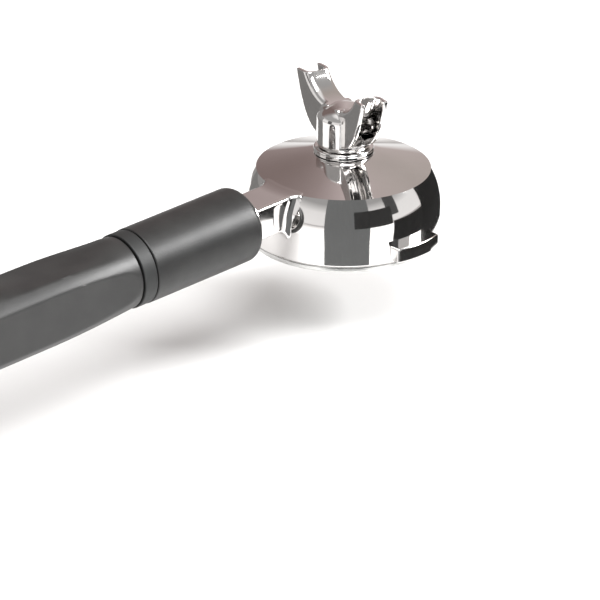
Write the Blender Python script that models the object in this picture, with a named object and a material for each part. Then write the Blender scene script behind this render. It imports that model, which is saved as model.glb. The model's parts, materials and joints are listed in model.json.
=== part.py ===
"""Portafilter of an espresso machine, standing upside down on the lip of its filter basket.

+Z points from the basket's lip to the spouts, the handle runs towards -X and the two locking
lugs point along +Y and -Y. The origin is the centre of the bounding box's lowest face.
"""

from math import cos, pi, radians, sin

import bmesh
import bpy
from mathutils import Vector

MM = 0.001
GAP = 0.3 * MM  # between two pieces that touch on the real object
EDGE = 0.4 * MM  # chamfer on the edges of turned pieces
BEYOND = 2.0 * MM  # how far a cutter passes the face it cuts through

# Filter basket and the wire spring that holds it. Heights are above the face that the lip stands on
BASKET_SHEET = 0.8 * MM
BASKET_DEPTH = 20.4 * MM
BASKET_CORNER = 3.5 * MM
BASKET_PLAY = 1.1 * MM  # between the basket's outer wall and the cup's inner wall
BASKET_HEADROOM = 1.2 * MM  # between the basket's floor and the cup's roof
LIP_OVERLAP = 2.7 * MM  # how far the lip reaches over the cup's rim
LIP_HEIGHT = 2.0 * MM
LIP_EDGE = 0.5 * MM
SIEVE_HOLE_RADIUS = 0.8 * MM
SIEVE_PITCH = 6.8 * MM
SIEVE_RINGS = 3
SPRING_WIRE_RADIUS = 0.6 * MM
SPRING_HEIGHT = 6.5 * MM
SPRING_INSET = 0.05 * MM  # of the wire's centre from the cup's inner wall
SPRING_SPLIT = radians(12)
SPRING_PLAY = 0.4 * MM

# Cup
CUP_RADIUS = 34.5 * MM
CUP_WALL = 3.5 * MM
CUP_ROOF = 3.2 * MM
CUP_EDGE = 0.5 * MM
CEILING_BEVEL_WIDTH = 3.0 * MM
CEILING_BEVEL_HEIGHT = 2.0 * MM
SHOULDER_WIDTH = 3.9 * MM
SHOULDER_DROP = 14.0 * MM
SHOULDER_SWEEP = radians(30)  # how far the shoulder turns away from upright
CONE_RISE = 5.4 * MM
BOSS_RIM = 0.4 * MM
BOSS_DEPTH = 7.0 * MM  # length of the threaded hole below the boss's face
BOSS_WALL = 2.8 * MM

# Lugs that lock the cup into the machine
LUG_REACH = 3.9 * MM
LUG_HALF_WIDTH = 9.8 * MM
LUG_BOTTOM = 3.5 * MM
LUG_HEIGHT = 5.2 * MM
LUG_EDGE = 0.5 * MM

# Spout
TAIL_RADIUS = 8.3 * MM
TAIL_WALL = 3.3 * MM
TAIL_SHORTFALL = 1.0 * MM  # from the tail's end to the end of the threaded hole
SEAL_THICKNESS = 0.8 * MM
SEAL_WIDTH = 1.2 * MM
RING_WIDTH = 2.0 * MM
RING_HEIGHT = 2.1 * MM
RING_EDGE = 0.7 * MM
HUB_STEP = 0.8 * MM  # from the tail out to the hub's neck
HUB_NECK_STEP = 0.5 * MM  # from the hub's neck out to the hub
HUB_NECK_HEIGHT = 0.8 * MM
HUB_HEIGHT = 15.2 * MM
HUB_CROWN = 5.0 * MM
SPOUT_TURN = radians(-13)  # how far past the lugs the spout points when it is tight
ARM_TOE = radians(4)  # how far each arm leans towards the handle, seen from above
ARM_OVERLAP = 1.0 * MM  # how far each arm reaches past the hub's middle, to join the other
ARM_HEIGHT = 22.5 * MM  # from the hub's lower face to the ends
ARM_REACH = 22.0 * MM
ARM_HALF_WIDTH = 5.1 * MM
ARM_DEPTH = 6.6 * MM
ARM_WALL = 1.5 * MM
ARM_ROUNDING = 2.2 * MM
ARM_ROOT = 1.5 * MM  # how far inside the hub's wall the arm's outer edge starts
ARM_BELLY_REACH = 16.8 * MM  # the point that the arm's outer edge bends round
ARM_BELLY_RISE = 2.8 * MM
ARM_SADDLE_REACH = 10.6 * MM  # the point that the arm's back bends round
ARM_SADDLE_DROP = 1.0 * MM
ARM_CREST_DROP = 0.6 * MM
SILL_HEIGHT = 2.2 * MM
SILL_WIDTH = 2.2 * MM
CHANNEL_ROUNDING = 2.0 * MM
CHANNEL_THROAT = 6.5 * MM  # thickness of the hub above the channels
CHANNEL_BEND_REACH = 11.2 * MM  # the point that the channel's floor bends round
CHANNEL_BEND_DROP = 3.4 * MM
WEB_HALF_THICKNESS = 1.5 * MM  # of the wall that splits the flow between the arms

# Neck and handle: distances run along the handle's axis, from the cup's axis
HANDLE_DROP = 5.4 * MM  # of the handle's axis below the cone's edge
HANDLE_DROOP = radians(2.0)
NECK_LENGTH = 12.8 * MM  # from the cup's wall
NECK_HALF_WIDTH = 7.3 * MM
NECK_TOP = 6.2 * MM
NECK_BOTTOM = 5.6 * MM
NECK_ROUNDING = 1.8 * MM
COLLAR_THICKNESS = 1.0 * MM
COLLAR_RADIUS = 10.0 * MM
COLLAR_EDGE = 0.2 * MM
STUD_RADIUS = 4.0 * MM
STUD_IN_NECK = 11.0 * MM
STUD_IN_CORE = 16.0 * MM
CORE_RADIUS = 7.0 * MM
SLEEVE_LENGTH = 46.3 * MM
SLEEVE_FRONT_RADIUS = 13.1 * MM
SLEEVE_REAR_RADIUS = 12.9 * MM
SLEEVE_NOSE = 3.0 * MM
BAND_LENGTH = 5.2 * MM
BAND_RADIUS = 12.7 * MM
GRIP_LENGTH = 69.5 * MM
GRIP_FRONT_RADIUS = 12.2 * MM
GRIP_SWELL = 1.5 * MM
GRIP_FLAT_REACH = 11.3 * MM  # distance of the two side flats from the axis
GRIP_FLAT_EASE = 6.0 * MM  # length over which the flats start
GRIP_TAIL = 9.0 * MM  # length over which the grip rounds off towards its end
GRIP_END_RADIUS = 11.2 * MM
THUMB_DEPTH = 2.6 * MM
THUMB_LENGTH = 52.0 * MM
THUMB_MIDDLE = 29.0 * MM  # from the grip's front
THUMB_HALF_WIDTH = 8.0 * MM
POCKET_WALL = 1.9 * MM
POCKET_DEPTH = 10.8 * MM
WASHER_PLAY = 0.9 * MM
WASHER_THICKNESS = 1.2 * MM
SCREW_RADIUS = 3.0 * MM
SCREW_IN_CORE = 12.0 * MM
SCREW_SHORTFALL = 1.0 * MM  # from the screw's tip to the end of its hole
SCREW_HEAD_RADIUS = 5.0 * MM
SCREW_HEAD_HEIGHT = 3.0 * MM
SCREW_SOCKET_RADIUS = 2.6 * MM
SCREW_SOCKET_DEPTH = 1.8 * MM
CAP_RIM = 0.2 * MM  # how much smaller the cap is than the grip's end
CAP_THICKNESS = 3.2 * MM
CAP_SKIRT_WALL = 1.4 * MM
CAP_SKIRT_LENGTH = 4.0 * MM
CAP_RING_WIRE_RADIUS = 0.35 * MM

FINE = 48
MIDDLE = 36
COARSE = 20
ARC_STEPS = 4
QUARTER_STEPS = 5
GRIP_STATIONS = 16

# Sizes and places that follow from the ones above
BASKET_TOP = BASKET_DEPTH + BASKET_SHEET
CUP_INSIDE = CUP_RADIUS - CUP_WALL
CUP_RIM = LIP_HEIGHT + GAP
CUP_CEILING = BASKET_TOP + BASKET_HEADROOM
CUP_HEIGHT = CUP_CEILING + CUP_ROOF
CONE_EDGE = CUP_RADIUS - SHOULDER_WIDTH
BASKET_RADIUS = CUP_INSIDE - BASKET_PLAY
LIP_RADIUS = CUP_INSIDE + LIP_OVERLAP
SPRING_RADIUS = CUP_INSIDE - SPRING_INSET
TAIL_HOLE = TAIL_RADIUS + GAP
TAIL_BORE = TAIL_RADIUS - TAIL_WALL
SEAT_RADIUS = TAIL_HOLE + SEAL_WIDTH + 2 * GAP
BOSS_RADIUS = SEAT_RADIUS + BOSS_RIM
BOSS_FACE = CUP_HEIGHT + CONE_RISE
SEAT_FLOOR = BOSS_FACE - SEAL_THICKNESS - GAP
TAIL_END = BOSS_FACE - BOSS_DEPTH + TAIL_SHORTFALL
RING_BOTTOM = BOSS_FACE + GAP
HUB_NECK_RADIUS = TAIL_RADIUS + HUB_STEP
HUB_RADIUS = HUB_NECK_RADIUS + HUB_NECK_STEP
HUB_BOTTOM = RING_BOTTOM + RING_HEIGHT + GAP
HUB_TOP = HUB_BOTTOM + HUB_HEIGHT
SILL = HUB_BOTTOM + SILL_HEIGHT
ARM_TOP = HUB_BOTTOM + ARM_HEIGHT
HANDLE_HEIGHT = CUP_HEIGHT - HANDLE_DROP
NECK_END = CUP_RADIUS + NECK_LENGTH
COLLAR_START = NECK_END + GAP
SLEEVE_START = COLLAR_START + COLLAR_THICKNESS + GAP
BAND_START = SLEEVE_START + SLEEVE_LENGTH + GAP
GRIP_START = BAND_START + BAND_LENGTH + GAP
GRIP_END = GRIP_START + GRIP_LENGTH
POCKET_RADIUS = GRIP_END_RADIUS - POCKET_WALL
POCKET_FLOOR = GRIP_END - POCKET_DEPTH
CORE_HOLE = CORE_RADIUS + GAP
CORE_START = SLEEVE_START + GAP
CORE_END = POCKET_FLOOR - GAP
WASHER_RADIUS = POCKET_RADIUS - WASHER_PLAY
WASHER_START = POCKET_FLOOR + GAP
SPLIT_WASHER_START = WASHER_START + WASHER_THICKNESS + GAP
SCREW_HEAD_START = SPLIT_WASHER_START + WASHER_THICKNESS + GAP
CAP_START = GRIP_END + GAP
CAP_SKIRT_RADIUS = POCKET_RADIUS - 2 * CAP_RING_WIRE_RADIUS - 2 * GAP


def finish_for(name, colour, roughness, metallic):
    material = bpy.data.materials.new(name)
    material.use_nodes = True
    shader = material.node_tree.nodes["Principled BSDF"]
    shader.inputs["Base Color"].default_value = (*colour, 1)
    shader.inputs["Roughness"].default_value = roughness
    shader.inputs["Metallic"].default_value = metallic
    return material


def add_object(name, bm, parent, material=None):
    """Turns a bmesh into an object under its parent. Without a material it is a cutter."""
    bmesh.ops.recalc_face_normals(bm, faces=bm.faces)
    mesh = bpy.data.meshes.new(name)
    bm.to_mesh(mesh)
    bm.free()
    mesh.shade_smooth()
    mesh.set_sharp_from_angle(angle=radians(35))
    piece = bpy.data.objects.new(name, mesh)
    bpy.context.scene.collection.objects.link(piece)
    piece.parent = parent
    if material:
        mesh.materials.append(material)
    else:
        piece.hide_render = True
        piece.display_type = "WIRE"
    return piece


def add_empty(name, parent, location=(0, 0, 0), rotation=(0, 0, 0)):
    empty = bpy.data.objects.new(name, None)
    bpy.context.scene.collection.objects.link(empty)
    empty.parent = parent
    empty.location = location
    empty.rotation_euler = rotation
    return empty


def combine(piece, other, operation):
    modifier = piece.modifiers.new(f"{operation} {other.name}", "BOOLEAN")
    modifier.operation = operation
    modifier.solver = "EXACT"
    modifier.object = other


def arc(centre, radius, start, end, steps=ARC_STEPS):
    """Points of an arc in a plane, between two angles in degrees."""
    angles = [radians(start + (end - start) * i / steps) for i in range(steps + 1)]
    return [(centre[0] + radius * cos(a), centre[1] + radius * sin(a)) for a in angles]


def bezier(start, control, end, steps):
    """Points of a quadratic curve in a plane."""
    points = []
    for i in range(steps + 1):
        t = i / steps
        weights = ((1 - t) ** 2, 2 * t * (1 - t), t * t)
        points.append(tuple(sum(w * p[k] for w, p in zip(weights, (start, control, end))) for k in range(2)))
    return points


def turned(name, outline, parent, material=None, segments=FINE):
    """Turns a closed outline of (radius, height) points about the parent's Z axis."""
    bm = bmesh.new()
    verts = [bm.verts.new((r, 0, z)) for r, z in outline]
    for start, end in zip(verts, verts[1:] + verts[:1]):
        if max(start.co.x, end.co.x) > 0:
            bm.edges.new((start, end))
    bmesh.ops.spin(
        bm, geom=bm.verts[:] + bm.edges[:], cent=(0, 0, 0), axis=(0, 0, 1),
        angle=2 * pi, steps=segments, use_merge=True,
    )
    bmesh.ops.remove_doubles(bm, verts=bm.verts, dist=1e-6)
    return add_object(name, bm, parent, material)


def tube(name, inner, outer, bottom, top, parent, material=None, edge=EDGE, segments=FINE):
    """A ring with chamfered outer edges."""
    outline = [
        (inner, bottom), (outer - edge, bottom), (outer, bottom + edge),
        (outer, top - edge), (outer - edge, top), (inner, top),
    ]
    return turned(name, outline, parent, material, segments)


def rod(name, radius, bottom, top, parent, material=None, edge=EDGE, segments=COARSE):
    """A bar with chamfered ends."""
    outline = [(0, bottom), (radius - edge, bottom), (radius, bottom + edge)]
    outline += [(radius, top - edge), (radius - edge, top), (0, top)]
    return turned(name, outline, parent, material, segments)


def box(name, low, high, parent, rounding=0.0, is_rounded=None):
    """A block that other pieces are cut or built from, with the picked edges rounded."""
    bm = bmesh.new()
    bmesh.ops.create_cube(bm, size=1)
    size = Vector(high) - Vector(low)
    bmesh.ops.scale(bm, verts=bm.verts, vec=size)
    bmesh.ops.translate(bm, verts=bm.verts, vec=Vector(low) + size / 2)
    if rounding:
        picked = [edge for edge in bm.edges if is_rounded(edge)]
        bmesh.ops.bevel(bm, geom=picked, offset=rounding, segments=ARC_STEPS, profile=0.5, affect="EDGES")
    return add_object(name, bm, parent)


def extruded(name, outline, half_width, parent, rounding, rounded_points):
    """Extrudes a closed (y, z) outline along X and rounds both rims between the picked points."""
    bm = bmesh.new()
    near = [bm.verts.new((-half_width, y, z)) for y, z in outline]
    grown = bmesh.ops.extrude_face_region(bm, geom=[bm.faces.new(near)])
    far = [item for item in grown["geom"] if isinstance(item, bmesh.types.BMVert)]
    bmesh.ops.translate(bm, verts=far, vec=(2 * half_width, 0, 0))
    soft = {(round(y, 7), round(z, 7)) for y, z in rounded_points}

    def on_soft_rim(edge):
        same_side = edge.verts[0].co.x * edge.verts[1].co.x > 0
        return same_side and all((round(v.co.y, 7), round(v.co.z, 7)) in soft for v in edge.verts)

    picked = [edge for edge in bm.edges if on_soft_rim(edge)]
    bmesh.ops.bevel(bm, geom=picked, offset=rounding, segments=3, profile=0.5, affect="EDGES")
    return add_object(name, bm, parent)


def wire_ring(name, radius, wire_radius, height, split, parent, material, segments, sides=6):
    """A ring of round wire. It is open over the angle split, or closed if that is 0."""
    bm = bmesh.new()
    rings = []
    for i in range(segments + 1 if split else segments):
        turn = split / 2 + (2 * pi - split) * i / segments
        ring = []
        for j in range(sides):
            side = 2 * pi * j / sides
            reach = radius + wire_radius * cos(side)
            level = height + wire_radius * sin(side)
            ring.append(bm.verts.new((reach * cos(turn), reach * sin(turn), level)))
        rings.append(ring)
    following = rings[1:] if split else rings[1:] + rings[:1]
    for ring, after in zip(rings, following):
        for j in range(sides):
            bm.faces.new((ring[j], ring[j - 1], after[j - 1], after[j]))
    if split:
        bm.faces.new(rings[0])
        bm.faces.new(rings[-1])
    return add_object(name, bm, parent, material)


def shoulder():
    """The rounded shoulder, from the cup's upright wall to the sharp edge of the cone."""
    points = []
    for i in range(ARC_STEPS + 1):
        turn = SHOULDER_SWEEP * i / ARC_STEPS
        inwards = SHOULDER_WIDTH * (1 - cos(turn)) / (1 - cos(SHOULDER_SWEEP))
        up = SHOULDER_DROP * sin(turn) / sin(SHOULDER_SWEEP)
        points.append((CUP_RADIUS - inwards, CUP_HEIGHT - SHOULDER_DROP + up))
    return points


def make_lug(name, side, parent):
    """One lug: a block from the middle of the wall, with a curved outer end."""
    low = (-LUG_HALF_WIDTH, -LUG_HALF_WIDTH, LUG_BOTTOM - LUG_EDGE)
    high = (LUG_HALF_WIDTH, LUG_HALF_WIDTH, LUG_BOTTOM + LUG_HEIGHT + LUG_EDGE)
    shift = Vector((0, side * CUP_RADIUS, 0))
    lug = box(name, Vector(low) + shift, Vector(high) + shift, parent)
    reach = CUP_RADIUS + LUG_REACH
    top = LUG_BOTTOM + LUG_HEIGHT
    disc = rod(f"{name}_limit", reach, LUG_BOTTOM, top, parent, edge=LUG_EDGE, segments=2 * FINE)
    combine(lug, disc, "INTERSECT")
    return lug


def make_neck(handle_axis):
    """The flat-topped neck, from inside the cup to the handle's collar."""
    low = (-NECK_BOTTOM, -NECK_HALF_WIDTH, CONE_EDGE - CUP_WALL)
    high = (NECK_TOP, NECK_HALF_WIDTH, NECK_END)
    return box(
        "neck", low, high, handle_axis, NECK_ROUNDING,
        lambda edge: abs(edge.verts[0].co.z - edge.verts[1].co.z) > NECK_LENGTH / 2,
    )


def make_hollow(parent):
    """The inside of the cup: chamber, groove for the spring, threaded hole and the seal's seat."""
    groove = SPRING_WIRE_RADIUS + SPRING_PLAY
    ceiling_radius = CUP_INSIDE - CEILING_BEVEL_WIDTH
    inner_boss = TAIL_HOLE + BOSS_WALL
    slope = CONE_RISE / (CONE_EDGE - BOSS_RADIUS)
    outline = [
        (0, 0),
        (CUP_INSIDE, 0),
        (CUP_INSIDE, SPRING_HEIGHT - groove),
        (SPRING_RADIUS + groove, SPRING_HEIGHT - groove),
        (SPRING_RADIUS + groove, SPRING_HEIGHT + groove),
        (CUP_INSIDE, SPRING_HEIGHT + groove),
        (CUP_INSIDE, CUP_CEILING - CEILING_BEVEL_HEIGHT),
        (ceiling_radius, CUP_CEILING),
        (inner_boss, CUP_CEILING + slope * (ceiling_radius - inner_boss)),
        (inner_boss, BOSS_FACE - BOSS_DEPTH),
        (TAIL_HOLE, BOSS_FACE - BOSS_DEPTH),
        (TAIL_HOLE, SEAT_FLOOR),
        (SEAT_RADIUS, SEAT_FLOOR),
        (SEAT_RADIUS, BOSS_FACE + BEYOND),
        (0, BOSS_FACE + BEYOND),
    ]
    return turned("cup_hollow", outline, parent)


def make_cup(parent, handle_axis, finish):
    """The cup is one casting: turned bowl, neck, two lugs and the boss for the spout."""
    outline = [(0, CUP_RIM), (CUP_RADIUS - CUP_EDGE, CUP_RIM), (CUP_RADIUS, CUP_RIM + CUP_EDGE)]
    outline += shoulder() + [(BOSS_RADIUS, BOSS_FACE), (0, BOSS_FACE)]
    cup = turned("cup_body", outline, parent, finish)
    combine(cup, make_lug("lug_left", 1, parent), "UNION")
    combine(cup, make_lug("lug_right", -1, parent), "UNION")
    combine(cup, make_neck(handle_axis), "UNION")
    combine(cup, make_hollow(parent), "DIFFERENCE")
    hole_floor = NECK_END - STUD_IN_NECK - GAP
    hole = rod("stud_hole", STUD_RADIUS + GAP, hole_floor, NECK_END + BEYOND, handle_axis)
    combine(cup, hole, "DIFFERENCE")
    return cup


def sieve_places():
    """Centres of the sieve's holes: one in the middle and rings around it, evenly spread."""
    places = [(0, 0)]
    for ring in range(1, SIEVE_RINGS + 1):
        count = 6 * ring
        for i in range(count):
            turn = 2 * pi * i / count
            places.append((ring * SIEVE_PITCH * cos(turn), ring * SIEVE_PITCH * sin(turn)))
    return places


def make_basket(parent, finish):
    """A pressed steel bowl whose lip covers the cup's rim. Its perforated floor is on top here."""
    inside = BASKET_RADIUS - BASKET_SHEET
    bend = BASKET_CORNER
    edge = LIP_EDGE
    outline = [(inside, edge), (inside + edge, 0), (LIP_RADIUS - edge, 0), (LIP_RADIUS, edge)]
    outline += [(LIP_RADIUS, LIP_HEIGHT - edge), (LIP_RADIUS - edge, LIP_HEIGHT), (BASKET_RADIUS, LIP_HEIGHT)]
    outline += arc((BASKET_RADIUS - bend, BASKET_TOP - bend), bend, 0, 90)
    outline += [(0, BASKET_TOP), (0, BASKET_DEPTH)]
    outline += arc((BASKET_RADIUS - bend, BASKET_TOP - bend), bend - BASKET_SHEET, 90, 0)
    basket = turned("filter_basket", outline, parent, finish)
    bm = bmesh.new()
    for x, y in sieve_places():
        made = bmesh.ops.create_cone(
            bm, cap_ends=True, segments=6, radius1=SIEVE_HOLE_RADIUS,
            radius2=SIEVE_HOLE_RADIUS, depth=4 * BASKET_SHEET,
        )
        bmesh.ops.translate(bm, verts=made["verts"], vec=(x, y, BASKET_TOP - BASKET_SHEET / 2))
    combine(basket, add_object("sieve_holes", bm, parent), "DIFFERENCE")
    return basket


def arm_outline():
    """Side view of one arm, and the part of it whose rims are rounded."""
    crest = HUB_TOP - ARM_CREST_DROP
    lip = bezier(
        (HUB_RADIUS - ARM_ROOT, SILL),
        (ARM_BELLY_REACH, HUB_BOTTOM + ARM_BELLY_RISE),
        (ARM_REACH, ARM_TOP), 9,
    )
    back = bezier(
        (ARM_REACH - ARM_DEPTH, ARM_TOP),
        (ARM_SADDLE_REACH, HUB_TOP - ARM_SADDLE_DROP),
        (0, crest), 6,
    )
    back.append((-ARM_OVERLAP, crest))
    return lip + back + [(-ARM_OVERLAP, SILL)], back


def channel_outline():
    """Side view of one arm's channel: over the sill, down to the web, then up to the end."""
    floor = [(HUB_RADIUS - SILL_WIDTH, SILL), (WEB_HALF_THICKNESS, SILL)]
    floor += bezier(
        (WEB_HALF_THICKNESS, HUB_TOP - CHANNEL_THROAT),
        (CHANNEL_BEND_REACH, HUB_TOP - CHANNEL_BEND_DROP),
        (ARM_REACH - ARM_DEPTH + ARM_WALL, ARM_TOP + BEYOND), 6,
    )
    outside = [(ARM_REACH + 2 * BEYOND, ARM_TOP + BEYOND), (ARM_REACH + 2 * BEYOND, SILL)]
    return floor + outside, floor


def make_spout(parent, finish):
    """One casting: threaded tail, hub, and two arms that are open channels facing outwards."""
    crown = HUB_TOP - HUB_CROWN
    outline = [(0, TAIL_END), (TAIL_RADIUS - EDGE, TAIL_END), (TAIL_RADIUS, TAIL_END + EDGE)]
    outline += [(TAIL_RADIUS, HUB_BOTTOM), (HUB_NECK_RADIUS, HUB_BOTTOM)]
    neck_top = HUB_BOTTOM + HUB_NECK_HEIGHT
    outline += [(HUB_NECK_RADIUS, neck_top), (HUB_RADIUS, neck_top + EDGE)]
    for i in range(QUARTER_STEPS):
        turn = pi / 2 * i / QUARTER_STEPS
        outline.append((HUB_RADIUS * cos(turn), crown + HUB_CROWN * sin(turn)))
    outline.append((0, HUB_TOP))
    spout = turned("double_spout", outline, parent, finish)
    arm, back = arm_outline()
    channel, floor = channel_outline()
    axes = {}
    for name, turn in (("left", ARM_TOE), ("right", pi - ARM_TOE)):
        axes[name] = add_empty(f"{name}_arm_axis", parent, rotation=(0, 0, turn))
    for name, axis in axes.items():
        outer = extruded(f"{name}_arm", arm, ARM_HALF_WIDTH, axis, ARM_ROUNDING, back)
        combine(spout, outer, "UNION")
    for name, axis in axes.items():
        half_width = ARM_HALF_WIDTH - ARM_WALL
        cutter = extruded(f"{name}_channel", channel, half_width, axis, CHANNEL_ROUNDING, floor)
        combine(spout, cutter, "DIFFERENCE")
    bore = rod("bore", TAIL_BORE, TAIL_END - BEYOND, SILL + EDGE, parent)
    combine(spout, bore, "DIFFERENCE")
    return spout


def sleeve_outline():
    nose = SLEEVE_NOSE
    end = SLEEVE_START + SLEEVE_LENGTH
    outline = [(CORE_HOLE, SLEEVE_START)]
    outline += arc((SLEEVE_FRONT_RADIUS - nose, SLEEVE_START + nose), nose, -90, 0)
    outline += [(SLEEVE_REAR_RADIUS, end - EDGE), (SLEEVE_REAR_RADIUS - EDGE, end), (CORE_HOLE, end)]
    return outline


def grip_radius(along):
    """Radius of the grip at a distance from its front: it swells, then rounds off to the end."""
    swollen = GRIP_FRONT_RADIUS + GRIP_SWELL * sin(pi / 2 * min(1, 2 * along / GRIP_LENGTH))
    tail = max(0, 1 - (GRIP_LENGTH - along) / GRIP_TAIL)
    return swollen - (swollen - GRIP_END_RADIUS) * tail**2


def make_grip(parent, finish):
    """The grip: a swelling barrel with two side flats and a hollow along its top for the thumb."""
    bm = bmesh.new()
    rings = []
    for i in range(GRIP_STATIONS + 1):
        along = GRIP_LENGTH * i / GRIP_STATIONS
        radius = grip_radius(along)
        started = min(1, along / GRIP_FLAT_EASE)
        flat = radius - max(0, radius - GRIP_FLAT_REACH) * started
        hollow = THUMB_DEPTH * max(0, 1 - ((along - THUMB_MIDDLE) / (THUMB_LENGTH / 2)) ** 2)
        ring = []
        for j in range(MIDDLE):
            turn = 2 * pi * j / MIDDLE
            up = radius * cos(turn)
            side = max(-flat, min(flat, radius * sin(turn)))
            if up > 0:
                up -= hollow * max(0, 1 - (side / THUMB_HALF_WIDTH) ** 2)
            ring.append(bm.verts.new((up, side, GRIP_START + along)))
        rings.append(ring)
    for ring, after in zip(rings, rings[1:]):
        for j in range(len(ring)):
            bm.faces.new((ring[j - 1], ring[j], after[j], after[j - 1]))
    bm.faces.new(rings[0])
    bm.faces.new(rings[-1])
    grip = add_object("handle_grip", bm, parent, finish)
    bore = rod("grip_bore", CORE_HOLE, GRIP_START - BEYOND, GRIP_END, parent)
    combine(grip, bore, "DIFFERENCE")
    pocket = rod("grip_pocket", POCKET_RADIUS, POCKET_FLOOR, GRIP_END + BEYOND, parent, segments=MIDDLE)
    combine(grip, pocket, "DIFFERENCE")
    return grip


def make_core(parent, finish):
    """The brass rod inside the handle, threaded for the stud at one end and the screw at the other."""
    stud_hole = STUD_RADIUS + GAP
    stud_floor = CORE_START + STUD_IN_CORE + GAP
    screw_hole = SCREW_RADIUS + GAP
    screw_floor = CORE_END - SCREW_IN_CORE
    outline = [(stud_hole, CORE_START), (CORE_RADIUS - EDGE, CORE_START), (CORE_RADIUS, CORE_START + EDGE)]
    outline += [(CORE_RADIUS, CORE_END - EDGE), (CORE_RADIUS - EDGE, CORE_END), (screw_hole, CORE_END)]
    outline += [(screw_hole, screw_floor), (0, screw_floor), (0, stud_floor), (stud_hole, stud_floor)]
    return turned("handle_core", outline, parent, finish, COARSE)


def make_end_screw(parent, finish):
    """A socket screw that clamps the grip, band and sleeve along the core."""
    tip = CORE_END - SCREW_IN_CORE + SCREW_SHORTFALL
    top = SCREW_HEAD_START + SCREW_HEAD_HEIGHT
    outline = [(0, tip), (SCREW_RADIUS - EDGE, tip), (SCREW_RADIUS, tip + EDGE)]
    outline += [(SCREW_RADIUS, SCREW_HEAD_START), (SCREW_HEAD_RADIUS, SCREW_HEAD_START)]
    outline += [(SCREW_HEAD_RADIUS, top - EDGE), (SCREW_HEAD_RADIUS - EDGE, top), (0, top)]
    screw = turned("end_screw", outline, parent, finish, COARSE)
    socket_floor = top - SCREW_SOCKET_DEPTH
    socket = rod("socket", SCREW_SOCKET_RADIUS, socket_floor, top + BEYOND, parent, segments=6)
    combine(screw, socket, "DIFFERENCE")
    return screw


def make_end_cap(parent, finish):
    """A domed cap with a skirt that plugs the grip's pocket."""
    skirt = CAP_SKIRT_RADIUS
    skirt_end = CAP_START - CAP_SKIRT_LENGTH
    inner = skirt - CAP_SKIRT_WALL
    rim = GRIP_END_RADIUS - CAP_RIM
    outline = [(0, CAP_START), (inner, CAP_START), (inner, skirt_end), (skirt, skirt_end), (skirt, CAP_START)]
    for i in range(QUARTER_STEPS):
        turn = pi / 2 * i / QUARTER_STEPS
        outline.append((rim * cos(turn) ** 0.6, CAP_START + CAP_THICKNESS * sin(turn)))
    outline.append((0, CAP_START + CAP_THICKNESS))
    return turned("end_cap", outline, parent, finish, MIDDLE)


def make_handle(axis, finishes):
    plastic, soft_black, chrome, steel, brass, rubber = finishes
    tube(
        "neck_collar", STUD_RADIUS + 2 * GAP, COLLAR_RADIUS, COLLAR_START,
        COLLAR_START + COLLAR_THICKNESS, axis, chrome, COLLAR_EDGE,
    )
    rod("handle_stud", STUD_RADIUS, NECK_END - STUD_IN_NECK, CORE_START + STUD_IN_CORE, axis, steel)
    make_core(axis, brass)
    turned("handle_sleeve", sleeve_outline(), axis, plastic)
    tube("handle_band", CORE_HOLE, BAND_RADIUS, BAND_START, BAND_START + BAND_LENGTH, axis, soft_black)
    make_grip(axis, plastic)
    hole = SCREW_RADIUS + GAP
    washer_top = WASHER_START + WASHER_THICKNESS
    tube("end_washer", hole, WASHER_RADIUS, WASHER_START, washer_top, axis, steel, segments=COARSE)
    half = WASHER_THICKNESS / 2
    wire_ring("split_washer", hole + half, half, SPLIT_WASHER_START + half, SPRING_SPLIT, axis, steel, COARSE)
    make_end_screw(axis, steel)
    make_end_cap(axis, plastic)
    ring_radius = CAP_SKIRT_RADIUS + GAP + CAP_RING_WIRE_RADIUS
    ring_height = CAP_START - CAP_SKIRT_LENGTH / 2
    wire_ring("cap_ring", ring_radius, CAP_RING_WIRE_RADIUS, ring_height, 0, axis, rubber, MIDDLE)


def centre_origin(root):
    """Moves the whole model so that the origin is the centre of its bounding box's lowest face."""
    bpy.context.view_layer.update()
    graph = bpy.context.evaluated_depsgraph_get()
    corners = []
    for piece in bpy.data.objects:
        if piece.type == "MESH" and not piece.hide_render:
            evaluated = piece.evaluated_get(graph)
            corners += [evaluated.matrix_world @ vert.co for vert in evaluated.to_mesh().vertices]
            evaluated.to_mesh_clear()
    for axis in (0, 1):
        values = [corner[axis] for corner in corners]
        root.location[axis] = -(min(values) + max(values)) / 2
    root.location[2] = -min(corner[2] for corner in corners)


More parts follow.
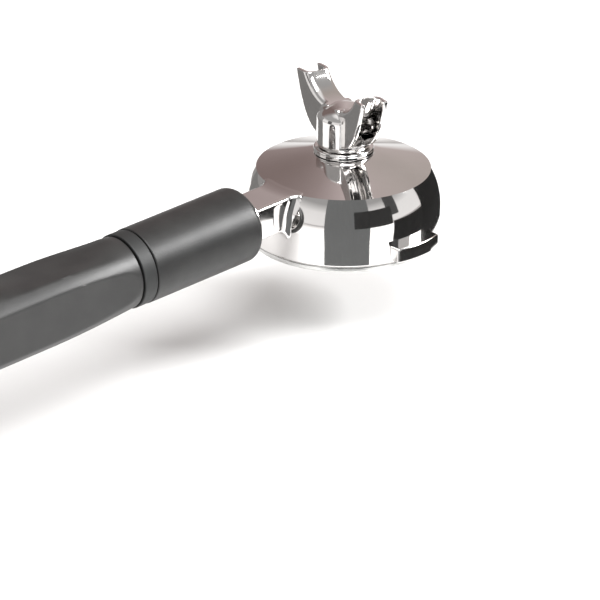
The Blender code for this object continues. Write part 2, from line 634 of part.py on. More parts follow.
def main():
    for piece in list(bpy.data.objects):
        bpy.data.objects.remove(piece)
    chrome = finish_for("chrome", (0.80, 0.79, 0.78), 0.06, 1.0)
    steel = finish_for("stainless_steel", (0.66, 0.66, 0.65), 0.28, 1.0)
    brass = finish_for("brass", (0.72, 0.55, 0.27), 0.30, 1.0)
    plastic = finish_for("black_plastic", (0.022, 0.022, 0.024), 0.42, 0.0)
    soft_black = finish_for("soft_black_plastic", (0.035, 0.035, 0.038), 0.55, 0.0)
    rubber = finish_for("seal_rubber", (0.05, 0.05, 0.05), 0.75, 0.0)

    root = add_empty("portafilter", None)
    handle_axis = add_empty(
        "handle_axis", root, (0, 0, HANDLE_HEIGHT), (0, -(pi / 2 + HANDLE_DROOP), 0)
    )
    spout_axis = add_empty("spout_axis", root, rotation=(0, 0, SPOUT_TURN))

    make_cup(root, handle_axis, chrome)
    make_basket(root, steel)
    wire_ring(
        "basket_spring", SPRING_RADIUS, SPRING_WIRE_RADIUS, SPRING_HEIGHT, SPRING_SPLIT, root, steel, MIDDLE
    )
    seal_bottom = SEAT_FLOOR + GAP
    seal_top = seal_bottom + SEAL_THICKNESS
    seal_outer = TAIL_HOLE + SEAL_WIDTH
    tube("spout_seal", TAIL_HOLE, seal_outer, seal_bottom, seal_top, root, rubber, COLLAR_EDGE, MIDDLE)
    ring_top = RING_BOTTOM + RING_HEIGHT
    tube("spout_base_ring", TAIL_HOLE, TAIL_HOLE + RING_WIDTH, RING_BOTTOM, ring_top, root, chrome, RING_EDGE)
    make_spout(spout_axis, chrome)
    make_handle(handle_axis, (plastic, soft_black, chrome, steel, brass, rubber))
    centre_origin(root)


main()
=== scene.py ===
"""Looks of a portafilter that stands upside down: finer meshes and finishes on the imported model.

Outlines and lengths are in millimetres and are turned into metres when a mesh is made. The cup's
frame is the model's own frame with its origin on the cup's axis. In the handle's frame X is up, Y is
the model's Y and Z runs along the handle, away from the cup.
"""

import json
from math import acos, cos, degrees, hypot, pi, radians, sin, sqrt, tan

import bmesh
import bpy
from mathutils import Matrix, Vector


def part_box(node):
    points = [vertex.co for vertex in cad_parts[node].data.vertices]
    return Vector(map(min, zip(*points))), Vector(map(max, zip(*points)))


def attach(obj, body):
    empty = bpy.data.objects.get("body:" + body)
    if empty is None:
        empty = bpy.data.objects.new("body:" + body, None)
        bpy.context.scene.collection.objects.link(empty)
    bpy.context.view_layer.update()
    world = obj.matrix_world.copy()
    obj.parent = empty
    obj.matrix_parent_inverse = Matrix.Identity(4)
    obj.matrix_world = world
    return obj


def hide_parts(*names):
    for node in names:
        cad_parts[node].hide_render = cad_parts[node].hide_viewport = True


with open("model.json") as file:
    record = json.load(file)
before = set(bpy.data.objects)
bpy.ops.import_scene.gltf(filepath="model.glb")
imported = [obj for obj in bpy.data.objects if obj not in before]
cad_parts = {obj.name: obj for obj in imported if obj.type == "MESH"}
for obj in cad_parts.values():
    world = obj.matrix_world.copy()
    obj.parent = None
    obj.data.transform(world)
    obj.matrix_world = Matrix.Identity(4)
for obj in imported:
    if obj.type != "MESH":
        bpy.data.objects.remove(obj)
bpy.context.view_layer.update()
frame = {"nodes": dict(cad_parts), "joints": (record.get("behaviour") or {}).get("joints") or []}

MM = 0.001
GAP = 0.3
BEYOND = 2.0  # how far a cutter passes the face it cuts through
ROUND = 192  # segments round a large turned piece
SMALL_ROUND = 96
ON_AXIS = 1e-6  # a radius below this is a point on the axis

# Cup
CUP_RADIUS = 34.5
CUP_INSIDE = 31.0
CUP_RIM = 2.3
CUP_HEIGHT = 25.6
CUP_CEILING = 22.4
CONE_EDGE = 30.6
SHOULDER_DROP = 14.0
SHOULDER_SWEEP = radians(30)
BOSS_FACE = 31.0
BOSS_RADIUS = 10.8
SEAT_RADIUS = 10.4
SEAT_FLOOR = 29.9
TAIL_HOLE = 8.6
THREAD_FLOOR = 24.0
GROOVE_LOW, GROOVE_HIGH, GROOVE_RADIUS = 5.5, 7.5, 31.95
LUG_RADIUS = 38.4
LUG_HALF_WIDTH = 9.8
LUG_LOW, LUG_HIGH = 3.5, 8.7
LUG_EDGE = 0.55
RIM_EDGE = 0.6
INNER_BOSS_WALL = 2.8
CONE_POINTS = (0.15, 0.6, 4, 8, 12, 16)  # distances in from the cone's edge that carry a ring of points
NECK_START, NECK_END = 27.6, 47.3
NECK_TOP, NECK_BOTTOM, NECK_HALF_WIDTH = 6.2, -5.6, 7.3
NECK_ROUNDING = 1.0
NECK_FLARE = 4.0  # radius where the neck's sides run into the cup
NECK_ROOT = 3.0  # the same under the neck
MELT = 0.8  # how softly the neck's top runs into the cone
MELT_SINK = 0.05  # slope by which the neck's top dips under the cone further in
MELT_SINK_START = 29.5
NECK_POINT_SPACING = 0.7
NECK_STEP, NECK_LONG_STEP, NECK_STEP_CHANGE = 0.25, 0.5, 40
NECK_END_EDGE = 0.15
NECK_END_SHARE = 0.98
STUD_RADIUS = 4.0
STUD_START, STUD_END = 36.3, 65.2
STUD_PITCH = 1.25
STUD_THREAD_DEPTH = 0.7
STUD_TIP = 0.8
THREAD_CREST = 1.15  # above 1 the thread's root is flat

# Basket
BASKET_RADIUS, BASKET_INSIDE = 29.9, 29.1
BASKET_TOP, BASKET_DEPTH = 21.2, 20.4
BASKET_CORNER = 3.5
LIP_RADIUS = 33.7
LIP_HEIGHT = 2.0
SIEVE_PITCH = 2.2
SIEVE_HOLE = 0.45
SIEVE_RINGS = 10
SIEVE_CUT = 3  # length of the cutters
LIP_EDGE = 0.6
LIP_MOUTH = 0.9  # rounding from the lip into the bowl
LIP_ROOT = 0.4

# Spout
SPOUT_TURN = radians(-13)
ARM_TOE = radians(4)
TAIL_RADIUS = 8.3
TAIL_BORE = 5.0
TAIL_END = 25.0
TAIL_PITCH = 1.337
TAIL_THREAD_DEPTH = 0.86
HUB_BOTTOM = 33.7
HUB_TOP = 48.9
HUB_RADIUS = 9.6
HUB_NECK_RADIUS = 9.1
HUB_CROWN = 5.0
HUB_NECK_HEIGHT, HUB_NECK_SLOPE = 0.8, 0.4
SILL = 35.9
SILL_WIDTH = 2.2
ARM_TOP = 56.2
ARM_REACH = 22.0
ARM_HALF_WIDTH = 5.1
ARM_DEPTH = 6.6
ARM_WALL = 1.5
ARM_ROUNDING = 2.3
BELLY = (16.8, 36.5)
SADDLE = (10.6, 47.9)
CREST = 48.3
CHANNEL_FLOOR = 42.4
CHANNEL_BEND = (11.2, 45.5)
CHANNEL_ROUNDING = 2.2
WEB = 1.5
VOXEL = 0.19
SMOOTHING = 9
ARM_ROOT = 1.5
RING_LOW_EDGE, RING_HIGH_EDGE = 0.35, 0.55
RING_GROOVE, RING_GROOVE_RISE = 0.2, 0.35

# Handle
CORE_HOLE = 7.3
SLEEVE_NOSE = 3.0
SLEEVE_RADIUS, SLEEVE_REAR_RADIUS = 13.1, 12.9
SLEEVE_TAPER_START = 8
SLEEVE_EDGE, BAND_EDGE, COLLAR_EDGE = 0.45, 0.35, 0.3
GRIP_FRONT_RADIUS = 12.2
GRIP_SWELL = 1.5
GRIP_FLAT = 11.3
GRIP_FLAT_EASE = 6.0
GRIP_TAIL = 9.0
GRIP_END_RADIUS = 11.2
GRIP_EDGE = 0.6
GRIP_POINTS = 120
GRIP_STEP = 1.2
THUMB_DEPTH, THUMB_LENGTH, THUMB_MIDDLE, THUMB_HALF_WIDTH = 2.6, 52.0, 29.0, 8.0
POCKET_RADIUS = 9.3
POCKET_DEPTH = 10.8
CAP_SKIRT = 8.0
CAP_SKIRT_LENGTH = 4.0
CAP_SKIRT_WALL = 1.4
CAP_RIM = 11.0
CAP_EDGE = 0.3
CAP_FULLNESS = 0.6  # below 1 the dome is fuller than an ellipse
CAP_SHORTFALL = 0.08  # keeps the finer dome inside the coarser one of the model

joints = {joint["name"]: joint for joint in frame["joints"]}
handle_start = Vector(joints["handle_turn"]["pos_m"])
along = Vector(joints["handle_turn"]["axis"]).normalized()
sideways = Vector((0, 1, 0))
upwards = sideways.cross(along)
CUP = Matrix.Translation((handle_start.x, 0, 0))
SPOUT = CUP @ Matrix.Rotation(SPOUT_TURN, 4, "Z")
HANDLE = Matrix((upwards, sideways, along)).transposed().to_4x4()
HANDLE.translation = handle_start
HANDLE_HEIGHT = handle_start.z / MM
CONE_SLOPE = (BOSS_FACE - CUP_HEIGHT) / (CONE_EDGE - BOSS_RADIUS)


# Shapes


def rounded(corners, steps=6):
    """A closed outline of (x, y) or (x, y, radius) corners, with an arc at each that has a radius."""
    points = []
    for before, corner, after in zip(corners[-1:] + corners[:-1], corners, corners[1:] + corners[:1]):
        here = Vector(corner[:2])
        if len(corner) < 3:
            points.append(tuple(here))
            continue
        back = (Vector(before[:2]) - here).normalized()
        ahead = (Vector(after[:2]) - here).normalized()
        half = back.angle(ahead) / 2
        centre = here + (back + ahead).normalized() * corner[2] / sin(half)
        spoke = here + back * corner[2] / tan(half) - centre
        whole = pi - 2 * half
        if back.x * ahead.y - back.y * ahead.x > 0:
            whole = -whole
        for i in range(steps + 1):
            points.append(tuple(centre + Matrix.Rotation(whole * i / steps, 2) @ spoke))
    return points


def bezier(start, control, end, steps):
    points = []
    for i in range(steps + 1):
        t = i / steps
        weights = ((1 - t) ** 2, 2 * t * (1 - t), t * t)
        points.append(tuple(sum(w * p[k] for w, p in zip(weights, (start, control, end))) for k in range(2)))
    return points


def arc(centre, radius, start, end, steps=8):
    angles = [radians(start + (end - start) * i / steps) for i in range(steps + 1)]
    return [(centre[0] + radius * cos(a), centre[1] + radius * sin(a)) for a in angles]


def made(name, bm, place):
    """Turns a bmesh in millimetres into an object in the model's frame."""
    bmesh.ops.recalc_face_normals(bm, faces=bm.faces)
    bmesh.ops.transform(bm, matrix=place @ Matrix.Scale(MM, 4), verts=bm.verts)
    mesh = bpy.data.meshes.new(name)
    bm.to_mesh(mesh)
    bm.free()
    piece = bpy.data.objects.new(name, mesh)
    bpy.context.scene.collection.objects.link(piece)
    return piece


def loft(name, rings, place, is_closed=False):
    """Joins rings of points into a skin. It ends in flat faces, or runs back to its first ring."""
    bm = bmesh.new()
    skin = [[bm.verts.new(point) for point in ring] for ring in rings]
    for ring, after in zip(skin, skin[1:] + (skin[:1] if is_closed else [])):
        for j in range(len(ring)):
            bm.faces.new((ring[j - 1], ring[j], after[j], after[j - 1]))
    if not is_closed:
        bm.faces.new(skin[0])
        bm.faces.new(skin[-1])
    return made(name, bm, place)


def lathe(name, outline, place, segments=ROUND, radius_at=None):
    """Turns a closed outline of (radius, height) points about the place's Z axis."""
    bm = bmesh.new()
    rings = []
    for radius, height in outline:
        if radius < ON_AXIS:
            rings.append([bm.verts.new((0, 0, height))] * segments)
            continue
        ring = []
        for j in range(segments):
            turn = 2 * pi * j / segments
            reach = radius_at(radius, height, turn) if radius_at else radius
            ring.append(bm.verts.new((reach * cos(turn), reach * sin(turn), height)))
        rings.append(ring)
    for ring, after in zip(rings, rings[1:] + rings[:1]):
        for j in range(segments):
            corners = list(dict.fromkeys((ring[j - 1], ring[j], after[j], after[j - 1])))
            if len(corners) > 2:
                bm.faces.new(corners)
    return made(name, bm, place)


def rod(name, radius, low, high, place, segments=48):
    return lathe(name, [(0, low), (radius, low), (radius, high), (0, high)], place, segments)


def extruded(name, outline, low, high, axis, place, rounding, is_soft):
    """Extrudes a closed outline along one axis and rounds the rim edges that is_soft picks."""
    bm = bmesh.new()
    near = []
    for first, second in outline:
        point = [first, second]
        point.insert(axis, low)
        near.append(bm.verts.new(point))
    grown = bmesh.ops.extrude_face_region(bm, geom=[bm.faces.new(near)])
    shift = [0, 0, 0]
    shift[axis] = high - low
    far = [item for item in grown["geom"] if isinstance(item, bmesh.types.BMVert)]
    bmesh.ops.translate(bm, verts=far, vec=shift)
    picked = [edge for edge in bm.edges if is_soft(edge.verts[0].co, edge.verts[1].co)]
    bmesh.ops.bevel(bm, geom=picked, offset=rounding, segments=5, profile=0.5, affect="EDGES")
    return made(name, bm, place)


def evaluated(piece):
    """Replaces a piece's mesh with what its modifiers make of it."""
    graph = bpy.context.evaluated_depsgraph_get()
    mesh = bpy.data.meshes.new_from_object(piece.evaluated_get(graph))
    piece.modifiers.clear()
    piece.data = mesh


def combine(piece, other, operation):
    modifier = piece.modifiers.new("combine", "BOOLEAN")
    modifier.operation = operation
    modifier.solver = "EXACT"
    modifier.object = other
    evaluated(piece)
    bpy.data.objects.remove(other)


def finish(piece, body, node, material, angle=32):
    """Smooths a finished piece, gives it its material and hangs it on its body in place of a CAD node."""
    piece.data.shade_smooth()
    piece.data.set_sharp_from_angle(angle=radians(angle))
    piece.data.materials.clear()
    piece.data.materials.append(material)
    normals = piece.modifiers.new("normals", "WEIGHTED_NORMAL")
    normals.keep_sharp = True
    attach(piece, body)
    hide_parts(node)


def span(node):
    """Where a CAD node of the handle starts and ends along the handle, and its largest radius."""
    local = [HANDLE.inverted() @ vert.co for vert in frame["nodes"][node].data.vertices]
    heights = [point.z / MM for point in local]
    return min(heights), max(heights), max(hypot(point.x, point.y) for point in local) / MM


def thread(radius, depth, pitch, low, high):
    """Gives the radius of a thread at a height and an angle. It runs out at both ends."""

    def radius_at(reach, height, turn):
        if abs(reach - radius) > ON_AXIS:
            return reach
        phase = (height / pitch - turn / (2 * pi)) % 1
        ends = min(1, (height - low) / pitch, (high - height) / pitch)
        return radius - depth * max(1 - ends, min(1, THREAD_CREST * abs(2 * phase - 1)))

    return radius_at


# Materials


def surface(name, light, dark, roughness, patches, grain, relief, metallic=0.0, stretch=(1, 1, 1)):
    """Two tones in soft patches, a roughness that wanders between two values, and a fine relief in mm."""
    material = bpy.data.materials.new(name)
    material.use_nodes = True
    nodes, links = material.node_tree.nodes, material.node_tree.links
    shader = nodes["Principled BSDF"]
    shader.inputs["Metallic"].default_value = metallic
    places = nodes.new("ShaderNodeTexCoord")
    mapping = nodes.new("ShaderNodeMapping")
    mapping.inputs["Scale"].default_value = stretch
    links.new(places.outputs["Object"], mapping.inputs["Vector"])

    def noise(scale, detail, vector):
        texture = nodes.new("ShaderNodeTexNoise")
        texture.inputs["Scale"].default_value = scale
        texture.inputs["Detail"].default_value = detail
        links.new(vector, texture.inputs["Vector"])
        return texture.outputs["Fac"]

    soft = noise(patches, 3, places.outputs["Object"])
    fine = noise(grain, 2, mapping.outputs["Vector"])
    ramp = nodes.new("ShaderNodeValToRGB")
    ramp.color_ramp.elements[0].position = 0.35
    ramp.color_ramp.elements[0].color = (*dark, 1)
    ramp.color_ramp.elements[1].position = 0.65
    ramp.color_ramp.elements[1].color = (*light, 1)
    links.new(soft, ramp.inputs["Fac"])
    links.new(ramp.outputs["Color"], shader.inputs["Base Color"])
    wander = nodes.new("ShaderNodeMapRange")
    wander.inputs["To Min"].default_value = roughness[0]
    wander.inputs["To Max"].default_value = roughness[1]
    links.new(noise(patches * 2.7, 4, mapping.outputs["Vector"]), wander.inputs["Value"])
    links.new(wander.outputs["Result"], shader.inputs["Roughness"])
    bump = nodes.new("ShaderNodeBump")
    bump.inputs["Strength"].default_value = 1.0
    bump.inputs["Distance"].default_value = relief * MM
    links.new(fine, bump.inputs["Height"])
    links.new(bump.outputs["Normal"], shader.inputs["Normal"])
    return material


chrome = surface(
    "chrome", (0.80, 0.785, 0.775), (0.76, 0.745, 0.735), (0.02, 0.09),
    metallic=1.0, patches=55, grain=260, relief=0.004,
)
cast_chrome = surface(
    "cast chrome", (0.80, 0.785, 0.775), (0.75, 0.735, 0.725), (0.03, 0.11),
    metallic=1.0, patches=80, grain=420, relief=0.010,
)
steel = surface(
    "satin steel", (0.66, 0.66, 0.65), (0.58, 0.58, 0.57), (0.20, 0.34),
    metallic=1.0, patches=90, grain=900, relief=0.006, stretch=(1, 1, 14),
)
brass = surface(
    "machined brass", (0.74, 0.57, 0.29), (0.62, 0.46, 0.21), (0.22, 0.38),
    metallic=1.0, patches=90, grain=1200, relief=0.006, stretch=(14, 1, 1),
)
plastic = surface(
    "grained black plastic", (0.018, 0.018, 0.0175), (0.012, 0.012, 0.012), (0.36, 0.46),
    patches=120, grain=1700, relief=0.034,
)
smooth_plastic = surface(
    "moulded black plastic", (0.022, 0.022, 0.0215), (0.016, 0.016, 0.016), (0.34, 0.42),
    patches=90, grain=1500, relief=0.015,
)
soft_plastic = surface(
    "soft black plastic", (0.016, 0.017, 0.017), (0.011, 0.012, 0.012), (0.46, 0.56),
    patches=120, grain=2200, relief=0.02,
)
rubber = surface(
    "seal rubber", (0.055, 0.055, 0.055), (0.038, 0.038, 0.038), (0.65, 0.80),
    patches=200, grain=2600, relief=0.03,
)


# Cup, basket and spout


def cup_radius_at(height):
    """Radius of the cup's outside at a height, on the wall and on the rounded shoulder."""
    rise = (height - (CUP_HEIGHT - SHOULDER_DROP)) / SHOULDER_DROP * sin(SHOULDER_SWEEP)
    if rise <= 0:
        return CUP_RADIUS
    share = (1 - sqrt(1 - min(rise, sin(SHOULDER_SWEEP)) ** 2)) / (1 - cos(SHOULDER_SWEEP))
    return CUP_RADIUS - share * (CUP_RADIUS - CONE_EDGE)


def neck_ring(distance):
    """A rounded rectangle that flares where the neck meets the cup and melts into the cone on top."""
    corners = [(NECK_TOP, -1), (NECK_TOP, 1), (NECK_BOTTOM, 1), (NECK_BOTTOM, -1)]
    section = rounded([(x, side * NECK_HALF_WIDTH, NECK_ROUNDING) for x, side in corners], 8)
    dense = []
    for (x0, y0), (x1, y1) in zip(section, section[1:] + section[:1]):
        steps = max(1, round(hypot(x1 - x0, y1 - y0) / NECK_POINT_SPACING))
        dense += [(x0 + (x1 - x0) * i / steps, y0 + (y1 - y0) * i / steps) for i in range(steps)]
    ring = []
    for x, y in dense:
        height = HANDLE_HEIGHT + x * upwards.z + distance * along.z
        radius = cup_radius_at(height)
        centre = sqrt((radius + NECK_FLARE) ** 2 - (NECK_HALF_WIDTH + NECK_FLARE) ** 2)
        inwards = min(max(0, centre - distance), centre * NECK_FLARE / (radius + NECK_FLARE))
        flare = NECK_FLARE - sqrt(NECK_FLARE**2 - inwards**2)
        wide = y * (1 + flare / NECK_HALF_WIDTH)
        root = min(max(0, CUP_RADIUS + NECK_ROOT - distance), NECK_ROOT)
        deep = NECK_ROOT - sqrt(NECK_ROOT**2 - root**2)
        if x < 0:
            x *= 1 - deep / NECK_BOTTOM
        flat = HANDLE_HEIGHT + NECK_TOP * upwards.z + distance * along.z
        out = hypot(distance, wide)
        cone = CUP_HEIGHT + CONE_SLOPE * (CONE_EDGE - out) - MELT_SINK * max(0, MELT_SINK_START - out)
        melt = max(0, MELT - abs(cone - flat)) / MELT
        lift = max(cone, flat) + melt * melt * MELT / 4 - flat
        x += lift * max(0, x / NECK_TOP) ** 2
        ring.append((x, wide, distance))
    return ring


def make_cup():
    above = CUP_RIM + BEYOND
    rim = rounded([(0, above), (0, CUP_RIM), (CUP_RADIUS, CUP_RIM, RIM_EDGE), (CUP_RADIUS, above)])
    outline = [(0, CUP_RIM)] + rim[2:-1]
    steps = 20
    for i in range(steps + 1):
        height = CUP_HEIGHT - SHOULDER_DROP * (1 - sin(SHOULDER_SWEEP * i / steps) / sin(SHOULDER_SWEEP))
        outline.append((cup_radius_at(height), height))
    outline += [(CONE_EDGE - inwards, CUP_HEIGHT + CONE_SLOPE * inwards) for inwards in CONE_POINTS]
    outline += [(BOSS_RADIUS, BOSS_FACE), (0, BOSS_FACE)]
    cup = lathe("cup", outline, CUP)
    for side in (1, -1):
        reach = acos(LUG_HALF_WIDTH / LUG_RADIUS)
        face = arc((0, 0), LUG_RADIUS, degrees(reach), 180 - degrees(reach), 24)
        face += [(-LUG_HALF_WIDTH, CUP_INSIDE - 1), (LUG_HALF_WIDTH, CUP_INSIDE - 1)]
        face = [(x * side, y * side) for x, y in face]
        lug = extruded(
            "lug", face, LUG_LOW, LUG_HIGH, 2, CUP, LUG_EDGE,
            lambda a, b: max(abs(a.y), abs(b.y)) > CUP_INSIDE,
        )
        combine(cup, lug, "UNION")
    short_steps = int((NECK_STEP_CHANGE - NECK_START) / NECK_STEP)
    long_steps = int((NECK_END - NECK_STEP_CHANGE) / NECK_LONG_STEP)
    stations = [NECK_START + NECK_STEP * i for i in range(short_steps)]
    stations += [NECK_STEP_CHANGE + NECK_LONG_STEP * i for i in range(long_steps)]
    stations.append(NECK_END - NECK_END_EDGE)
    rings = [neck_ring(station) for station in stations]
    rings.append([(x * NECK_END_SHARE, y * NECK_END_SHARE, NECK_END) for x, y, _ in neck_ring(NECK_END)])
    combine(cup, loft("neck", rings, HANDLE), "UNION")
    inner_boss = TAIL_HOLE + INNER_BOSS_WALL
    hollow = rounded([
        (0, 0), (CUP_INSIDE + 0.4, 0), (CUP_INSIDE + 0.4, CUP_RIM), (CUP_INSIDE, CUP_RIM + 0.4),
        (CUP_INSIDE, GROOVE_LOW), (GROOVE_RADIUS, GROOVE_LOW, 0.4),
        (GROOVE_RADIUS, GROOVE_HIGH, 0.4), (CUP_INSIDE, GROOVE_HIGH),
        (CUP_INSIDE, CUP_CEILING - 2, 2.0), (CUP_INSIDE - 3, CUP_CEILING, 2.0),
        (inner_boss, CUP_CEILING + CONE_SLOPE * (CUP_INSIDE - 3 - inner_boss), 1.0),
        (inner_boss, THREAD_FLOOR, 0.6), (TAIL_HOLE + 0.6, THREAD_FLOOR), (TAIL_HOLE, THREAD_FLOOR + 0.6),
        (TAIL_HOLE, SEAT_FLOOR), (SEAT_RADIUS, SEAT_FLOOR), (SEAT_RADIUS, BOSS_FACE + BEYOND),
        (0, BOSS_FACE + BEYOND),
    ])
    combine(cup, lathe("hollow", hollow, CUP), "DIFFERENCE")
    hole = rod("stud_hole", STUD_RADIUS + GAP, STUD_START - GAP, NECK_END + BEYOND, HANDLE)
    combine(cup, hole, "DIFFERENCE")
    return cup


def make_basket():
    outline = rounded([
        (BASKET_INSIDE, LIP_HEIGHT + 1), (BASKET_INSIDE, 0, LIP_MOUTH),
        (LIP_RADIUS, 0, LIP_EDGE), (LIP_RADIUS, LIP_HEIGHT, LIP_EDGE),
        (BASKET_RADIUS + LIP_ROOT, LIP_HEIGHT), (BASKET_RADIUS, LIP_HEIGHT + LIP_ROOT),
        (BASKET_RADIUS, BASKET_TOP, BASKET_CORNER), (BASKET_RADIUS - 8, BASKET_TOP), (0, BASKET_TOP),
        (0, BASKET_DEPTH), (BASKET_RADIUS - 8, BASKET_DEPTH),
        (BASKET_INSIDE, BASKET_DEPTH, BASKET_CORNER - BASKET_RADIUS + BASKET_INSIDE),
    ], 8)
    basket = lathe("basket", outline, CUP)
    bm = bmesh.new()
    for q in range(-SIEVE_RINGS, SIEVE_RINGS + 1):
        for r in range(max(-SIEVE_RINGS, -q - SIEVE_RINGS), min(SIEVE_RINGS, SIEVE_RINGS - q) + 1):
            hole = bmesh.ops.create_cone(
                bm, cap_ends=True, segments=10, radius1=SIEVE_HOLE, radius2=SIEVE_HOLE, depth=SIEVE_CUT
            )
            middle = (BASKET_TOP + BASKET_DEPTH) / 2
            spot = (SIEVE_PITCH * (q + r / 2), SIEVE_PITCH * r * sqrt(3) / 2, middle)
            bmesh.ops.translate(bm, verts=hole["verts"], vec=spot)
    combine(basket, made("sieve", bm, CUP), "DIFFERENCE")
    return basket


def make_spout():
    neck_top = HUB_BOTTOM + HUB_NECK_HEIGHT
    outline = [(0, HUB_BOTTOM), (HUB_NECK_RADIUS, HUB_BOTTOM), (HUB_NECK_RADIUS, neck_top)]
    outline.append((HUB_RADIUS, neck_top + HUB_NECK_SLOPE))
    crown = arc((0, 0), 1, 0, 90, 16)[:-1]
    outline += [(HUB_RADIUS * x, HUB_TOP - HUB_CROWN * (1 - y)) for x, y in crown]
    outline.append((0, HUB_TOP))
    spout = lathe("spout", outline, SPOUT, 144)
    lip = bezier((HUB_RADIUS - ARM_ROOT, SILL), BELLY, (ARM_REACH, ARM_TOP), 28)
    back = bezier((ARM_REACH - ARM_DEPTH, ARM_TOP), SADDLE, (0, CREST), 22) + [(-1, CREST)]
    arm = lip + back + [(-1, SILL)]
    floor = [(HUB_RADIUS - SILL_WIDTH, SILL), (WEB, SILL)]
    mouth = (ARM_REACH - ARM_DEPTH + ARM_WALL, ARM_TOP + BEYOND)
    floor += bezier((WEB, CHANNEL_FLOOR), CHANNEL_BEND, mouth, 22)
    outside = ARM_REACH + 2 * BEYOND
    channel = floor + [(outside, ARM_TOP + BEYOND), (outside, SILL)]

    def on_rim(outline_part):
        soft = {(round(x, 4), round(z, 4)) for x, z in outline_part}

        def is_soft(a, b):
            same_side = a.y * b.y > 0
            return same_side and all((round(v.x, 4), round(v.z, 4)) in soft for v in (a, b))

        return is_soft

    arms = [SPOUT @ Matrix.Rotation(pi / 2 + turn, 4, "Z") for turn in (ARM_TOE, pi - ARM_TOE)]
    for place in arms:
        half_width = ARM_HALF_WIDTH
        outer = extruded("arm", arm, -half_width, half_width, 1, place, ARM_ROUNDING, on_rim(back))
        combine(spout, outer, "UNION")
    for place in arms:
        half_width = ARM_HALF_WIDTH - ARM_WALL
        cutter = extruded(
            "channel", channel, -half_width, half_width, 1, place, CHANNEL_ROUNDING, on_rim(floor)
        )
        combine(spout, cutter, "DIFFERENCE")
    combine(spout, rod("bore", TAIL_BORE, TAIL_END, SILL + 0.4, SPOUT, 96), "DIFFERENCE")
    remesh = spout.modifiers.new("cast", "REMESH")
    remesh.mode = "VOXEL"
    remesh.voxel_size = VOXEL * MM
    smooth = spout.modifiers.new("soft", "SMOOTH")
    smooth.factor = 0.5
    smooth.iterations = SMOOTHING
    evaluated(spout)
    return spout


def make_tail():
    """The spout's threaded tail."""
    low, high = TAIL_END, HUB_BOTTOM + 0.4
    rows = [(TAIL_RADIUS, low + 0.3 + (high - low - 0.3) * i / 70) for i in range(71)]
    outline = [(TAIL_BORE, low), (TAIL_RADIUS - 0.9, low)] + rows + [(TAIL_BORE, high)]
    radius_at = thread(TAIL_RADIUS, TAIL_THREAD_DEPTH, TAIL_PITCH, low, HUB_BOTTOM - 1.2)
    return lathe("spout_thread", outline, SPOUT, 72, radius_at)


def make_stud():
    tip = STUD_TIP
    first = STUD_START + tip / 2
    length = STUD_END - STUD_START - tip
    rows = [(STUD_RADIUS, first + length * i / 185) for i in range(186)]
    outline = [(0, STUD_START), (STUD_RADIUS - tip, STUD_START)] + rows
    outline += [(STUD_RADIUS - tip, STUD_END), (0, STUD_END)]
    radius_at = thread(STUD_RADIUS, STUD_THREAD_DEPTH, STUD_PITCH, STUD_START, STUD_END)
    return lathe("stud", outline, HANDLE, 60, radius_at)


def make_base_ring():
    low, high = (corner.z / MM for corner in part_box("spout_base_ring"))
    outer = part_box("spout_base_ring")[1].y / MM
    deep = RING_GROOVE
    groove = (low + high) / 2 + RING_GROOVE_RISE
    return lathe("base_ring", rounded([
        (TAIL_HOLE, low), (outer, low, RING_LOW_EDGE),
        (outer, groove - deep), (outer - deep, groove), (outer, groove + deep),
        (outer, high, RING_HIGH_EDGE), (TAIL_HOLE, high),
    ]), CUP)


# Handle


def grip_radius(distance, length):
    swollen = GRIP_FRONT_RADIUS + GRIP_SWELL * sin(pi / 2 * min(1, 2 * distance / length))
    tail = max(0, 1 - (length - distance) / GRIP_TAIL)
    return swollen - (swollen - GRIP_END_RADIUS) * tail**2


def make_grip():
    start, end, _ = span("handle_grip")
    length = end - start
    turns = [2 * pi * j / GRIP_POINTS for j in range(GRIP_POINTS)]
    rings = []

    def circle(radius, height):
        return [(radius * cos(turn), radius * sin(turn), height) for turn in turns]

    stations = [0, 0.1, 0.3, 0.6] + [GRIP_STEP * i for i in range(1, int((length - 1) / GRIP_STEP))]
    stations += [length - 0.9, length - 0.5, length - 0.2, length]
    for distance in stations:
        radius = grip_radius(distance, length)
        ends = min(distance, length - distance)
        if ends < GRIP_EDGE:
            radius -= GRIP_EDGE - sqrt(GRIP_EDGE**2 - (GRIP_EDGE - ends) ** 2)
        started = min(1, distance / GRIP_FLAT_EASE)
        flat = radius - max(0, radius - GRIP_FLAT) * started * started * (3 - 2 * started)
        hollow = THUMB_DEPTH * max(0, 1 - ((distance - THUMB_MIDDLE) / (THUMB_LENGTH / 2)) ** 2) ** 1.3
        ring = []
        for turn in turns:
            up = radius * cos(turn)
            side = max(-flat, min(flat, radius * sin(turn)))
            if up > 0:
                up -= hollow * max(0, 1 - (side / THUMB_HALF_WIDTH) ** 2)
            ring.append((up, side, start + distance))
        rings.append(ring)
    rings += [circle(POCKET_RADIUS + 0.4, end), circle(POCKET_RADIUS, end - 0.4)]
    rings += [circle(POCKET_RADIUS, end - POCKET_DEPTH), circle(CORE_HOLE, end - POCKET_DEPTH)]
    rings += [circle(CORE_HOLE, start + 0.3), circle(CORE_HOLE + 0.3, start)]
    return loft("grip", rings, HANDLE, is_closed=True)


def make_sleeve():
    start, end, _ = span("handle_sleeve")
    return lathe("sleeve", rounded([
        (CORE_HOLE, start), (SLEEVE_RADIUS, start, SLEEVE_NOSE), (SLEEVE_RADIUS, start + SLEEVE_TAPER_START),
        (SLEEVE_REAR_RADIUS, end, SLEEVE_EDGE), (CORE_HOLE, end),
    ], 14), HANDLE)


